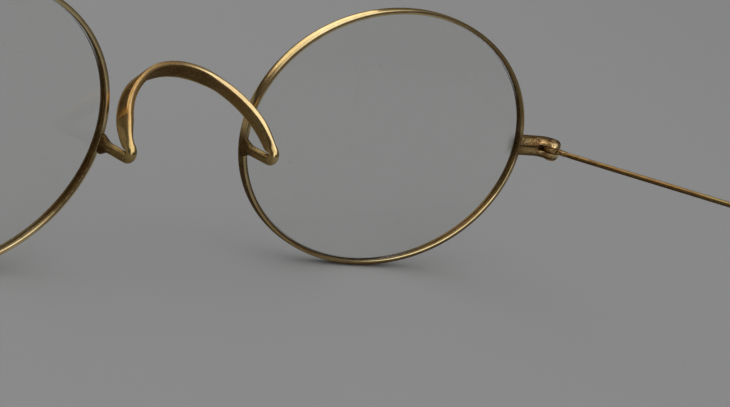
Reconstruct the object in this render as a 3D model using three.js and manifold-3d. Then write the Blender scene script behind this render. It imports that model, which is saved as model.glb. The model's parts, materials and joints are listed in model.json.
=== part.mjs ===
// Oval wire eyeglasses with a saddle bridge and hooked temples, open and standing on a table.
// Millimetres, +Z up. The front faces -Y, the temples run back along +Y, and +X is the wearer's left.

import * as THREE from 'three';
import { mergeVertices } from 'three/addons/utils/BufferGeometryUtils.js';
import Module from 'manifold-3d';

const wasm = await Module();
wasm.setup();

const { degToRad, lerp, smoothstep } = THREE.MathUtils;

// Eyewires and lenses. The oval is measured along the middle of the rim wire.
const EYE_WIDTH = 38;
const EYE_HEIGHT = 29.2;
const EYE_GAP = 19; // from oval to oval across the nose
const FACE_FORM = degToRad(7); // turns each lens's outer end back
const RIM_DEEP = 1.25; // rim wire, front to back
const RIM_THICK = 0.52; // rim wire, in the plane of the lens
const RIM_BEVEL = 0.15; // along the rim's two outer edges
const GROOVE_MOUTH = 0.52;
const GROOVE_DEPTH = 0.24;
const LENS_PLAY = 0.1; // between the lens's ridge and the bottom of the groove
const LENS_EDGE = 0.4;
const LENS_DOME = 0.45; // how far each face of the lens rises at its middle

// Saddle bridge: a leg from the back of each rim, a tight bend, and an arch that leans forward
const BRIDGE_INSET = 0.15; // legs inside the ovals' nearest points
const BRIDGE_LEG_DROP = 1.9; // legs below the middle of the lenses
const BRIDGE_LEG_LENGTH = 4.05; // from the rim to the bend
const BRIDGE_BEND = 0.6; // radius of the bend
const BRIDGE_ARCH_HEIGHT = 9.7; // along the slope
const BRIDGE_ARCH_SLOPE = degToRad(40);
const BRIDGE_WIRE = 1.1; // round wire of the legs
const SADDLE_WIDE = 1.95; // the same wire hammered flat over the nose
const SADDLE_THICK = 0.84;
const FRONT_EDGE_FLAT = 0.08; // share of the arch's height where the front edge is fully drawn out
const BACK_EDGE_FLAT = 0.35; // and the back edge
const FLANK_LEAN = degToRad(14); // turns the back edges of the arch's sides towards the nose
const CREST_LEAN = degToRad(-8); // and the crest's back edge away from it
const CREST_START = 0.8; // share of the arch's height where the one lean starts to go over into the other
const BRAZE_FLARE = 0.22; // extra radius of a leg where it is brazed to the rim
const BRAZE_LENGTH = 0.9;
const BRAZE_SEAM = 0.12; // between brazed pieces
const BRIDGE_HALF_WIDTH = EYE_GAP / 2 - BRIDGE_INSET;

// End pieces: two lugs that close the split rim, and the screw through them
const HINGE_OUT = 4.5; // screw's axis, outwards from the oval
const HINGE_BACK = 1.15; // and behind the plane of the lens
const HINGE_RISE = 0.45; // the split, above the middle of the lens
const SPLIT = 0.12;
const LUG_DEEP = 1.3;
const UPPER_LUG_TALL = 1.15;
const LOWER_LUG_TALL = 1.2;
const BARREL_RADIUS = 0.95;
const LUG_CORNER = 2.2; // how far from the barrel's side the front corner starts to round
const LUG_FILLET = 0.8; // radius between the back of the bar and the barrel
const SLOT_REACH = 1.75; // inwards from the screw's axis
const SCREW_RADIUS = 0.38;
const SCREW_HEAD_RADIUS = 0.64;
const SCREW_HEAD_TALL = 0.34;
const SCREW_SLOT_WIDE = 0.2;
const SCREW_SLOT_DEEP = 0.16;
const SCREW_PLAY = 0.06; // around the screw and its head

// Temples
const TEMPLE_SPLAY = degToRad(16); // outwards from straight back
const TEMPLE_RISE = degToRad(3.2); // upwards from the plane that the temple turns in
const KNUCKLE_TALL = 0.6;
const KNUCKLE_PLAY = 0.06; // above, below and around the knuckle
const NECK_WIDE = 0.84;
const NECK_LENGTH = 2; // from the screw's axis
const SHANK_WIRE = 0.62;
const SHANK_LENGTH = 84;
const SHANK_SEAM = 0.06; // between wire ends that meet
const SLEEVE_LENGTH = 4;
const SLEEVE_WALL = 0.16;
const SLEEVE_PLAY = 0.05;
const HOOK_RADIUS = 17;
const HOOK_SWEEP = degToRad(165);
const BALL_RADIUS = 0.85;

// Fineness of the rounded shapes
const OVAL_STEPS = 64;
const ARCH_STEPS = 25;
const BEND_STEPS = 6;
const HOOK_STEPS = 24;
const WIRE_SIDES = 8;
const HOLE_SIDES = 24;
const CURVE_STEPS = 8;
const BALL_STEPS = 14;

const GOLD = new THREE.MeshStandardMaterial({ color: '#a98445', roughness: 0.34, metalness: 1 });
const DARK_GOLD = new THREE.MeshStandardMaterial({ color: '#7c5f33', roughness: 0.45, metalness: 1 });
const GLASS = new THREE.MeshStandardMaterial({
  color: '#dce6de',
  roughness: 0.05,
  metalness: 0,
  transparent: true,
  opacity: 0.3,
});

// A closed skin over rings of points, each ring running anticlockwise about the way from first to last
function skin(rings) {
  const count = rings[0].length;
  const index = [];
  for (let ring = 0; ring + 1 < rings.length; ring++) {
    for (let i = 0; i < count; i++) {
      const here = ring * count + i;
      const next = ring * count + ((i + 1) % count);
      index.push(here, next, next + count, here, next + count, here + count);
    }
  }
  const last = (rings.length - 1) * count;
  for (let i = 1; i + 1 < count; i++) {
    index.push(0, i + 1, i, last, last + i, last + i + 1);
  }
  const geometry = new THREE.BufferGeometry().setFromPoints(rings.flat());
  geometry.setIndex(index);
  geometry.computeVertexNormals();
  return geometry;
}

// A geometry as a solid for cutting, with only its merged positions
function solidOf(geometry) {
  const bare = geometry.clone();
  bare.deleteAttribute('normal');
  bare.deleteAttribute('uv');
  const merged = mergeVertices(bare);
  const mesh = new wasm.Mesh({
    numProp: 3,
    vertProperties: merged.attributes.position.array,
    triVerts: new Uint32Array(merged.index.array),
  });
  return new wasm.Manifold(mesh);
}

function cut(geometry, tools) {
  const solid = tools.reduce((rest, tool) => rest.subtract(solidOf(tool)), solidOf(geometry));
  const mesh = solid.getMesh();
  const result = new THREE.BufferGeometry();
  result.setAttribute('position', new THREE.BufferAttribute(mesh.vertProperties, 3));
  result.setIndex(new THREE.BufferAttribute(mesh.triVerts, 1));
  result.computeVertexNormals();
  return result;
}

// A round upright cutter that stands at a point in the plan, from one height to another
function uprightCutter(radius, centre, bottom, top) {
  const cutter = new THREE.CylinderGeometry(radius, radius, top - bottom, HOLE_SIDES);
  cutter.rotateX(Math.PI / 2);
  return cutter.translate(centre.x, centre.y, (top + bottom) / 2);
}

// The outline of a round wire, with flats above, below and at the sides
function wireOutline(diameter) {
  const corner = diameter / 2 / Math.cos(Math.PI / WIRE_SIDES);
  const points = [];
  for (let i = 0; i < WIRE_SIDES; i++) {
    const angle = ((i + 0.5) * 2 * Math.PI) / WIRE_SIDES;
    points.push(new THREE.Vector2(corner * Math.cos(angle), corner * Math.sin(angle)));
  }
  return new THREE.Shape(points);
}

function sweep(outline, path, steps) {
  return new THREE.ExtrudeGeometry(outline, { steps, extrudePath: path, bevelEnabled: false });
}

// In an eye's own frame X runs outwards from the nose along the lens, Y back and Z up.
// The rim's middle line, from just above the split right round to just below it.
class OvalPath extends THREE.Curve {
  getPoint(t) {
    const halfGap = SPLIT / EYE_HEIGHT;
    const start = Math.asin((2 * HINGE_RISE) / EYE_HEIGHT);
    const angle = lerp(start + halfGap, start + 2 * Math.PI - halfGap, t);
    const x = (EYE_WIDTH / 2) * (1 + Math.cos(angle));
    return new THREE.Vector3(x, 0, (EYE_HEIGHT / 2) * Math.sin(angle));
  }
}

// Rim wire with its lens groove on the inside
function eyewire() {
  const side = RIM_DEEP / 2;
  const outside = RIM_THICK / 2;
  const lip = GROOVE_MOUTH / 2;
  const outline = new THREE.Shape();
  outline.moveTo(-side, -outside);
  outline.lineTo(-lip, -outside);
  outline.lineTo(0, GROOVE_DEPTH - outside);
  outline.lineTo(lip, -outside);
  outline.lineTo(side, -outside);
  outline.lineTo(side, outside - RIM_BEVEL);
  outline.lineTo(side - RIM_BEVEL, outside);
  outline.lineTo(RIM_BEVEL - side, outside);
  outline.lineTo(-side, outside - RIM_BEVEL);
  return sweep(outline, new OvalPath(), OVAL_STEPS);
}

// One level curve of the lens: an oval of the rim's middle line, made smaller all round and then in proportion
function lensRing(inset, share, y) {
  const halfWidth = (EYE_WIDTH / 2 - inset) * share;
  const halfHeight = (EYE_HEIGHT / 2 - inset) * share;
  const ring = [];
  for (let i = 0; i < OVAL_STEPS; i++) {
    const angle = (i * 2 * Math.PI) / OVAL_STEPS;
    const x = EYE_WIDTH / 2 + halfWidth * Math.cos(angle);
    ring.push(new THREE.Vector3(x, y, halfHeight * Math.sin(angle)));
  }
  return ring;
}

// Thin lens, domed on both faces, with a ridge round its edge that sits in the rim's groove
function lens() {
  const ridgeInset = RIM_THICK / 2 - GROOVE_DEPTH + LENS_PLAY;
  const faceInset = ridgeInset + LENS_EDGE / 2;
  const shares = [0.4, 0.7, 0.9, 1];
  const back = shares.map((share) => {
    return lensRing(faceInset, share, LENS_EDGE / 2 + LENS_DOME * (1 - share * share));
  });
  const front = back.map((ring) => ring.map((p) => new THREE.Vector3(p.x, -p.y, p.z))).reverse();
  return skin([...back, lensRing(ridgeInset, 1, 0), ...front]);
}

// Stations along the bridge: a point, the two directions across the wire there, and its two half sizes
function legAndBend() {
  const radius = BRIDGE_WIRE / 2;
  const rimBack = RIM_DEEP / 2 + BRAZE_SEAM;
  const outwards = new THREE.Vector3(1, 0, 0);
  const stations = [];
  for (const share of [0, 0.35, 1]) {
    const y = rimBack + share * BRAZE_LENGTH;
    const size = radius + BRAZE_FLARE * (1 - share) ** 2;
    const point = new THREE.Vector3(BRIDGE_HALF_WIDTH, y, -BRIDGE_LEG_DROP);
    const across = new THREE.Vector3(0, 0, -1);
    stations.push({ point, outwards, across, thick: size, wide: size });
  }
  for (let i = 0; i <= BEND_STEPS; i++) {
    const heading = ((Math.PI - BRIDGE_ARCH_SLOPE) * i) / BEND_STEPS;
    const across = new THREE.Vector3(0, Math.sin(heading), -Math.cos(heading));
    const centre = new THREE.Vector3(BRIDGE_HALF_WIDTH, rimBack + BRIDGE_LEG_LENGTH, BRIDGE_BEND - BRIDGE_LEG_DROP);
    const point = centre.addScaledVector(across, BRIDGE_BEND);
    stations.push({ point, outwards, across, thick: radius, wide: radius });
  }
  return stations;
}

function mirrorStation(station) {
  const flip = new THREE.Vector3(-1, 1, 1);
  const point = station.point.clone().multiply(flip);
  const outwards = station.outwards.clone().multiply(flip);
  return { ...station, point, outwards };
}

// The arch is half an oval in a plane square to the ridge of the nose, hammered flat from just above its feet
function archStation(angle, foot, across) {
  const uphill = new THREE.Vector3(0, -Math.cos(BRIDGE_ARCH_SLOPE), Math.sin(BRIDGE_ARCH_SLOPE));
  const sideways = Math.cos(angle);
  const height = Math.sin(angle);
  const point = new THREE.Vector3(BRIDGE_HALF_WIDTH * sideways, foot.y, foot.z);
  point.addScaledVector(uphill, BRIDGE_ARCH_HEIGHT * height);
  const outwards = new THREE.Vector3(BRIDGE_ARCH_HEIGHT * sideways, 0, 0);
  outwards.addScaledVector(uphill, BRIDGE_HALF_WIDTH * height).normalize();
  const frontFlatness = smoothstep(height, 0, FRONT_EDGE_FLAT);
  const frontHalf = lerp(BRIDGE_WIRE, SADDLE_WIDE, frontFlatness) / 2;
  const backFlatness = smoothstep(height, 0, BACK_EDGE_FLAT);
  const backHalf = lerp(BRIDGE_WIRE, SADDLE_WIDE, backFlatness) / 2;
  point.addScaledVector(across, (backHalf - frontHalf) / 2);
  const thick = lerp(BRIDGE_WIRE, SADDLE_THICK, frontFlatness) / 2;
  const wide = (frontHalf + backHalf) / 2;
  const lean = backFlatness * lerp(FLANK_LEAN, CREST_LEAN, smoothstep(height, CREST_START, 1));
  const leanOutwards = outwards.clone().multiplyScalar(Math.cos(lean)).addScaledVector(across, Math.sin(lean));
  const leanAcross = across.clone().multiplyScalar(Math.cos(lean)).addScaledVector(outwards, -Math.sin(lean));
  return { point, outwards: leanOutwards, across: leanAcross, thick, wide };
}

function stationRing({ point, outwards, across, thick, wide }) {
  return wireOutline(2).getPoints().slice(0, WIRE_SIDES).map((corner) => {
    const place = point.clone().addScaledVector(outwards, thick * corner.x);
    return place.addScaledVector(across, wide * corner.y);
  });
}

function bridge() {
  const left = legAndBend();
  const foot = left.at(-1);
  const stations = [...left];
  for (let i = 1; i < ARCH_STEPS; i++) {
    stations.push(archStation((Math.PI * i) / ARCH_STEPS, foot.point, foot.across));
  }
  stations.push(...left.map(mirrorStation).reverse());
  return skin(stations.map(stationRing));
}

// End piece seen from above: a bar from the rim that rounds back into the barrel about the screw
const HINGE = new THREE.Vector3(EYE_WIDTH + HINGE_OUT, HINGE_BACK, HINGE_RISE);

function lugOutline() {
  const half = LUG_DEEP / 2;
  const inner = EYE_WIDTH + RIM_THICK / 2 + BRAZE_SEAM / 2;
  const outer = HINGE.x + BARREL_RADIUS;
  const outline = new THREE.Shape();
  outline.moveTo(inner, -half);
  outline.lineTo(outer - LUG_CORNER, -half);
  outline.quadraticCurveTo(outer, -half, outer, HINGE.y);
  const rise = half + LUG_FILLET - HINGE.y;
  const run = Math.sqrt((BARREL_RADIUS + LUG_FILLET) ** 2 - rise ** 2);
  const meeting = Math.PI - Math.atan2(rise, run);
  outline.absarc(HINGE.x, HINGE.y, BARREL_RADIUS, 0, meeting);
  outline.absarc(HINGE.x - run, HINGE.y + rise, LUG_FILLET, meeting - Math.PI, -Math.PI / 2, true);
  outline.lineTo(inner, half);
  return outline;
}

// The slot that the temple's flat eye and neck turn in
function knuckleSlot() {
  const deep = 4 * BARREL_RADIUS;
  const slot = new THREE.BoxGeometry(SLOT_REACH + deep, deep, KNUCKLE_TALL + 2 * KNUCKLE_PLAY);
  const front = HINGE.y - BARREL_RADIUS - KNUCKLE_PLAY;
  return slot.translate(HINGE.x + (deep - SLOT_REACH) / 2, front + deep / 2, HINGE.z);
}

function lug(bottom, top, screwCuts) {
  const options = { depth: top - bottom, bevelEnabled: false, curveSegments: CURVE_STEPS };
  const block = new THREE.ExtrudeGeometry(lugOutline(), options).translate(0, 0, bottom);
  return cut(block, [knuckleSlot(), ...screwCuts]);
}

const UPPER_TOP = HINGE.z + UPPER_LUG_TALL;
const LOWER_BOTTOM = HINGE.z - LOWER_LUG_TALL;

function screwHole() {
  const past = SCREW_RADIUS;
  return uprightCutter(SCREW_RADIUS + SCREW_PLAY, HINGE, LOWER_BOTTOM - past, UPPER_TOP + past);
}

function upperLug() {
  return lug(HINGE.z + SPLIT / 2, UPPER_TOP, [screwHole()]);
}

function lowerLug() {
  const past = SCREW_HEAD_TALL;
  const radius = SCREW_HEAD_RADIUS + SCREW_PLAY;
  const seat = uprightCutter(radius, HINGE, LOWER_BOTTOM - past, LOWER_BOTTOM + SCREW_HEAD_TALL);
  return lug(LOWER_BOTTOM, HINGE.z - SPLIT / 2, [screwHole(), seat]);
}

// Slotted screw put in from below, its head let into the lower lug and its end level with the upper lug's top
function hingeScrew() {
  const seat = LOWER_BOTTOM + SCREW_HEAD_TALL - SCREW_PLAY;
  const bottom = seat - SCREW_HEAD_TALL;
  const profile = [
    new THREE.Vector2(0, bottom),
    new THREE.Vector2(SCREW_HEAD_RADIUS, bottom),
    new THREE.Vector2(SCREW_HEAD_RADIUS, seat),
    new THREE.Vector2(SCREW_RADIUS, seat),
    new THREE.Vector2(SCREW_RADIUS, UPPER_TOP),
    new THREE.Vector2(0, UPPER_TOP),
  ];
  const screw = new THREE.LatheGeometry(profile, HOLE_SIDES).rotateX(Math.PI / 2).translate(HINGE.x, HINGE.y, 0);
  const slot = new THREE.BoxGeometry(3 * SCREW_HEAD_RADIUS, SCREW_SLOT_WIDE, 2 * SCREW_SLOT_DEEP);
  return cut(screw, [slot.translate(HINGE.x, HINGE.y, bottom)]);
}

// In a temple's own frame the origin is on the screw's axis at the split, and Y runs back along the temple.
// Flat eye that turns on the screw, with the neck that carries the shank
function knuckle() {
  const half = NECK_WIDE / 2;
  const neckAngle = Math.acos(half / BARREL_RADIUS);
  const outline = new THREE.Shape();
  outline.moveTo(half, NECK_LENGTH);
  outline.lineTo(-half, NECK_LENGTH);
  outline.absarc(0, 0, BARREL_RADIUS, Math.PI - neckAngle, 2 * Math.PI + neckAngle);
  const eye = new THREE.Path();
  eye.absarc(0, 0, SCREW_RADIUS + SCREW_PLAY, 0, 2 * Math.PI, true);
  outline.holes.push(eye);
  const options = { depth: KNUCKLE_TALL, bevelEnabled: false, curveSegments: CURVE_STEPS };
  return new THREE.ExtrudeGeometry(outline, options).translate(0, 0, -KNUCKLE_TALL / 2);
}

// A place on the temple's middle line, so far along the straight shank and so far above it
function templePoint(along, above) {
  const point = new THREE.Vector3(0, along, above).applyAxisAngle(new THREE.Vector3(1, 0, 0), TEMPLE_RISE);
  return point.add(new THREE.Vector3(0, NECK_LENGTH + SHANK_SEAM, 0));
}

function shank() {
  const path = new THREE.LineCurve3(templePoint(0, 0), templePoint(SHANK_LENGTH, 0));
  return sweep(wireOutline(SHANK_WIRE), path, 1);
}

const HOOK_START = SHANK_LENGTH + SHANK_SEAM;
const HOOK_STRAIGHT = SLEEVE_LENGTH * 0.6; // the hook's straight end, just longer than half the sleeve

class HookPath extends THREE.Curve {
  getPoint(t) {
    const length = t * (HOOK_STRAIGHT + HOOK_RADIUS * HOOK_SWEEP);
    if (length < HOOK_STRAIGHT) {
      return templePoint(HOOK_START + length, 0);
    }
    const angle = (length - HOOK_STRAIGHT) / HOOK_RADIUS;
    const along = HOOK_START + HOOK_STRAIGHT + HOOK_RADIUS * Math.sin(angle);
    return templePoint(along, HOOK_RADIUS * (Math.cos(angle) - 1));
  }
}

function hook() {
  return sweep(wireOutline(SHANK_WIRE), new HookPath(), HOOK_STEPS);
}

// Short tube over the meeting ends of shank and hook
function sleeve() {
  const bore = SHANK_WIRE / 2 / Math.cos(Math.PI / WIRE_SIDES) + SLEEVE_PLAY;
  const half = SLEEVE_LENGTH / 2;
  const profile = [
    new THREE.Vector2(bore, -half),
    new THREE.Vector2(bore + SLEEVE_WALL, -half),
    new THREE.Vector2(bore + SLEEVE_WALL, half),
    new THREE.Vector2(bore, half),
    new THREE.Vector2(bore, -half),
  ];
  const tube = new THREE.LatheGeometry(profile, HOLE_SIDES).rotateX(TEMPLE_RISE);
  const middle = templePoint(SHANK_LENGTH + SHANK_SEAM / 2, 0);
  return tube.translate(middle.x, middle.y, middle.z);
}

function ball() {
  const path = new HookPath();
  const centre = path.getPoint(1).addScaledVector(path.getTangent(1), BALL_RADIUS + SHANK_SEAM);
  const sphere = new THREE.SphereGeometry(BALL_RADIUS, BALL_STEPS, BALL_STEPS);
  return sphere.translate(centre.x, centre.y, centre.z);
}

function piece(name, geometry, material) {
  const mesh = new THREE.Mesh(geometry, material);
  mesh.name = name;
  return mesh;
}

function temple(side) {
  const group = new THREE.Group();
  group.name = `${side}_temple`;
  group.add(piece(`${side}_temple_knuckle`, knuckle(), GOLD));
  group.add(piece(`${side}_temple_shank`, shank(), GOLD));
  group.add(piece(`${side}_hook_sleeve`, sleeve(), GOLD));
  group.add(piece(`${side}_ear_hook`, hook(), GOLD));
  group.add(piece(`${side}_hook_ball`, ball(), GOLD));
  group.position.copy(HINGE);
  group.rotation.z = -TEMPLE_SPLAY - FACE_FORM;
  return group;
}

// One eye with its end piece and temple, on the wearer's left
function eye(side) {
  const group = new THREE.Group();
  group.add(piece(`${side}_eyewire`, eyewire(), GOLD));
  group.add(piece(`${side}_lens`, lens(), GLASS));
  group.add(piece(`${side}_upper_lug`, upperLug(), GOLD));
  group.add(piece(`${side}_lower_lug`, lowerLug(), GOLD));
  group.add(piece(`${side}_hinge_screw`, hingeScrew(), DARK_GOLD));
  group.add(temple(side));
  group.position.x = EYE_GAP / 2;
  group.rotation.z = FACE_FORM;
  return group;
}

function pointsOf(group, name) {
  const mesh = group.getObjectByName(name);
  const place = mesh.geometry.attributes.position;
  return Array.from({ length: place.count }, (_, i) => {
    return new THREE.Vector3().fromBufferAttribute(place, i).applyMatrix4(mesh.matrixWorld);
  });
}

// How far the front leans forward so that rims and hook balls stand on one level table, found by halving
function standingLean(group) {
  const rim = pointsOf(group, 'left_eyewire');
  const tip = pointsOf(group, 'left_hook_ball');
  const lowest = (points, lean) => Math.min(...points.map((p) => p.y * Math.sin(lean) + p.z * Math.cos(lean)));
  let low = degToRad(-45);
  let high = degToRad(45);
  for (let i = 0; i < 50; i++) {
    const middle = (low + high) / 2;
    if (lowest(tip, middle) < lowest(rim, middle)) low = middle;
    else high = middle;
  }
  return low;
}

function eyeglasses() {
  const right = new THREE.Group();
  right.add(eye('right'));
  right.scale.x = -1;

  const group = new THREE.Group();
  group.name = 'oval_wire_eyeglasses';
  group.add(eye('left'), right, piece('saddle_bridge', bridge(), GOLD));
  group.updateMatrixWorld(true);
  group.rotation.x = standingLean(group);

  // Origin in the middle of the table area that the glasses cover
  const box = new THREE.Box3().setFromObject(group, true);
  group.position.set(0, -(box.min.y + box.max.y) / 2, -box.min.z);
  group.updateMatrixWorld(true);
  return group;
}

export default eyeglasses();
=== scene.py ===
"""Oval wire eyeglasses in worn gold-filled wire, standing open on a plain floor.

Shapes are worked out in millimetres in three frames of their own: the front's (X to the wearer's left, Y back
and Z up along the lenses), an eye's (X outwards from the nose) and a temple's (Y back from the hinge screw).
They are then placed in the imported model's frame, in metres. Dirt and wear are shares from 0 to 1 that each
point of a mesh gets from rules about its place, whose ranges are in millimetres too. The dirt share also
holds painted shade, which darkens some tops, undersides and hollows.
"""

import json
import math
from collections import namedtuple

import bpy
from mathutils import Matrix, Vector


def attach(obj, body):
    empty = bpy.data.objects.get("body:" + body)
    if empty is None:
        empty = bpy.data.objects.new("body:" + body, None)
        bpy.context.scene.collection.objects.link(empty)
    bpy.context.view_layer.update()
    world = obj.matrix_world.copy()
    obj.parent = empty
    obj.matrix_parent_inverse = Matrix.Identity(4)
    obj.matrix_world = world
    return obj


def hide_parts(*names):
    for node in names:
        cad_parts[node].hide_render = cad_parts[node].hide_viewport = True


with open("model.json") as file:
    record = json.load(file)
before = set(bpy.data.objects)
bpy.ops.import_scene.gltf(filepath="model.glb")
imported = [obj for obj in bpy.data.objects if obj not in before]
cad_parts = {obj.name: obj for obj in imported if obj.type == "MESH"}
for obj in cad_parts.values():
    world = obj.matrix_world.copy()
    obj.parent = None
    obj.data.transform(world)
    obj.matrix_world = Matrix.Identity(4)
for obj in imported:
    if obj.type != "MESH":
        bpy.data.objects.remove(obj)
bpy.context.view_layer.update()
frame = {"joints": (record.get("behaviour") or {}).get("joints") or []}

MM = 0.001

# Eyewires and lenses
EYE_WIDTH = 38
EYE_HEIGHT = 29.2
EYE_GAP = 19
FACE_FORM = math.radians(7)
RIM_DEEP = 1.25
RIM_THICK = 0.52
RIM_BULGE = 0.14
RIM_SIDE_ROUND = 0.01
RIM_LIP_ROUND = 0.12
RIM_GAP = 0.04
GROOVE_MOUTH = 0.52
GROOVE_DEPTH = 0.24
GROOVE_EDGE_ROUND = 0.04
GROOVE_ROOT_ROUND = 0.05
LENS_PLAY = 0.1
LENS_EDGE = 0.4
LENS_DOME = 0.45
LENS_RIDGE_MARGIN = RIM_THICK / 2 - GROOVE_DEPTH + LENS_PLAY
LENS_FACE_MARGIN = LENS_RIDGE_MARGIN + LENS_EDGE / 2

# Saddle bridge
BRIDGE_HALF_WIDTH = 9.35
LEG_DROP = 1.9
LEG_LENGTH = 4.05
LEG_IN_RIM = 0.25
BEND_RADIUS = 0.6
ARCH_HEIGHT = 9.7
ARCH_SLOPE = math.radians(40)
BRIDGE_WIRE = 1.1
SADDLE_WIDE = 1.95
SADDLE_THICK = 0.84
FRONT_EDGE_FLAT = 0.08
BACK_EDGE_FLAT = 0.35
FLANK_LEAN = math.radians(14)
CREST_LEAN = math.radians(-8)
CREST_START = 0.8
BRAZE_SEAM = 0.12
BRAZE_TALL = 1.1
BRAZE_THICK = 0.825
BRAZE_LENGTH = 1.5
BRAZE_IN_RIM = 0.1
BRAZE_HOLLOW = 1.5

# End pieces and hinge screws
HINGE_OUT = 4.5
HINGE_BACK = 1.15
HINGE_RISE = 0.45
SPLIT = 0.12
LUG_DEEP = 1.3
UPPER_LUG_TALL = 1.15
LOWER_LUG_TALL = 1.2
BARREL_RADIUS = 0.95
LUG_CORNER = 2.2
LUG_FILLET = 0.8
LUG_ROUND = (0.46, 0.9)
SPLIT_ROUND = (0.05, 0.05)
KNUCKLE_ROUND = (0.2, 0.2)
SLOT_REACH = 1.75
SCREW_RADIUS = 0.38
SCREW_HEAD_RADIUS = 0.64
SCREW_HEAD_TALL = 0.34
SCREW_SLOT_WIDE = 0.2
SCREW_SLOT_DEEP = 0.16
SCREW_EDGE = (0.1, 0.08)
SCREW_CENTRE = 0.05
SCREW_PLAY = 0.06

# Temples
TEMPLE_SPLAY = math.radians(16)
TEMPLE_RISE = math.radians(3.2)
KNUCKLE_TALL = 0.6
KNUCKLE_PLAY = 0.06
NECK_WIDE = 0.84
NECK_LENGTH = 2
SHANK_WIRE = 0.62
SHANK_LENGTH = 84
SHANK_SEAM = 0.06
SHANK_IN_NECK = 0.6
SHANK_IN_NECK_FLAT = 0.8
SLEEVE_LENGTH = 4
SLEEVE_WALL = 0.16
SLEEVE_PLAY = 0.05
SLEEVE_LIP = 0.14
SLEEVE_LIP_ROUND = (0.04, 0.06)
CAD_WIRE_SIDES = 8
HOOK_RADIUS = 17
HOOK_SWEEP = math.radians(165)
HOOK_STRAIGHT = 0.6 * SLEEVE_LENGTH
HOOK_LENGTH = HOOK_STRAIGHT + HOOK_RADIUS * HOOK_SWEEP
BALL_RADIUS = 0.85

# Fineness of the rounded shapes
OVAL_STEPS = 320
ARCH_STEPS = 120
BEND_STEPS = 24
LEG_STEPS = 24
LENS_STEPS = 14
SHANK_STEP = 4
HOOK_STEPS = 160
WIRE_SIDES = 24
ROUND_STEPS = 5
BULGE_STEPS = 16
SLAB_STEPS = 8
CAP_INSET = 1.3
TURN_STEPS = 64
CUT_OVER = 1
SHARP_ANGLE = math.radians(35)
LENS_SHARP_ANGLE = math.radians(30)

# The camera, in the front's frame: focal length over the picture's width, its eye and the point it looks at
CAMERA_FOCUS = 3.014
CAMERA_EYE = Vector((143.0, 167.09, 53.59))
CAMERA_AIM = Vector((-29.91, 0, -8.56))
CAMERA_ROLL = math.radians(14.34)
SENSOR_WIDTH = 36

# In metres
CLIP_START = 0.01
FLOOR_HALF = 3

# A section of a wire or strip. A power of 2 makes it an oval, and more makes it squarer.
Station = namedtuple("Station", "point outwards across thick wide power")
ROUND = 2
HAMMERED = 4.2


# Frames

UP = Vector((0, 0, 1))
HINGE = Vector((EYE_WIDTH + HINGE_OUT, HINGE_BACK, HINGE_RISE))
EYE_FRAME = Matrix.Translation((EYE_GAP / 2, 0, 0)) @ Matrix.Rotation(FACE_FORM, 4, "Z")
TEMPLE_FRAME = EYE_FRAME @ Matrix.Translation(HINGE) @ Matrix.Rotation(-TEMPLE_SPLAY - FACE_FORM, 4, "Z")


def front_frame():
    """The leaning front's frame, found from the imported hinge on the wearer's left."""
    fold = next(joint for joint in frame["joints"] if joint["name"] == "left_temple_fold")
    lean = math.atan2(-fold["axis"][1], fold["axis"][2])
    turn = Matrix.Rotation(lean, 4, "X")
    shift = Vector(fold["pos_m"]) / MM - turn @ EYE_FRAME @ HINGE
    return Matrix.Translation(shift) @ turn


FRONT_FRAME = front_frame()
SIDES = {"left": 1, "right": -1}


def placed(side, own_frame):
    """The matrix that takes a shape in its own frame, in millimetres, to its place in metres."""
    mirror = Matrix.Diagonal((SIDES[side], 1, 1, 1))
    return Matrix.Scale(MM, 4) @ mirror @ FRONT_FRAME @ own_frame


# Making meshes

def smoothstep(value, low, high):
    share = min(1, max(0, (value - low) / (high - low)))
    return share * share * (3 - 2 * share)


def lerp(start, end, share):
    return start + (end - start) * share


def rounded(corners, steps=ROUND_STEPS):
    """A closed outline through corners (x, y, radius), with each corner rounded by its radius."""
    points = []
    for i, (x, y, radius) in enumerate(corners):
        here = Vector((x, y))
        before = Vector(corners[i - 1][:2]) - here
        after = Vector(corners[(i + 1) % len(corners)][:2]) - here
        reach = radius / math.tan(before.angle(after) / 2)
        start = here + before.normalized() * reach
        end = here + after.normalized() * reach
        for step in range(steps + 1):
            share = step / steps
            points.append(start.lerp(here, share).lerp(here.lerp(end, share), share))
    return points


def inset(outline, amount):
    """An anticlockwise outline moved inwards all round."""
    moved = []
    for i, point in enumerate(outline):
        along = outline[(i + 1) % len(outline)] - outline[i - 1]
        inwards = Vector((-along.y, along.x)).normalized()
        moved.append(point + inwards * amount)
    return moved


def skin(rings):
    """A closed mesh over rings of points, with flat ends. Rings run anticlockwise about their way."""
    count = len(rings[0])
    faces = []
    for ring in range(len(rings) - 1):
        for i in range(count):
            here = ring * count + i
            beside = ring * count + (i + 1) % count
            faces.append((here, beside, beside + count, here + count))
    total = len(rings) * count
    faces.append(tuple(reversed(range(count))))
    faces.append(tuple(range(total - count, total)))
    mesh = bpy.data.meshes.new("skin")
    mesh.from_pydata([point for ring in rings for point in ring], [], faces)
    return mesh


def station_ring(station):
    """The rounded section about a station."""
    ring = []
    for i in range(WIRE_SIDES):
        angle = 2 * math.pi * i / WIRE_SIDES
        u = math.copysign(abs(math.cos(angle)) ** (2 / station.power), math.cos(angle))
        v = math.copysign(abs(math.sin(angle)) ** (2 / station.power), math.sin(angle))
        ring.append(station.point + station.outwards * station.thick * u + station.across * station.wide * v)
    return ring


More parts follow.
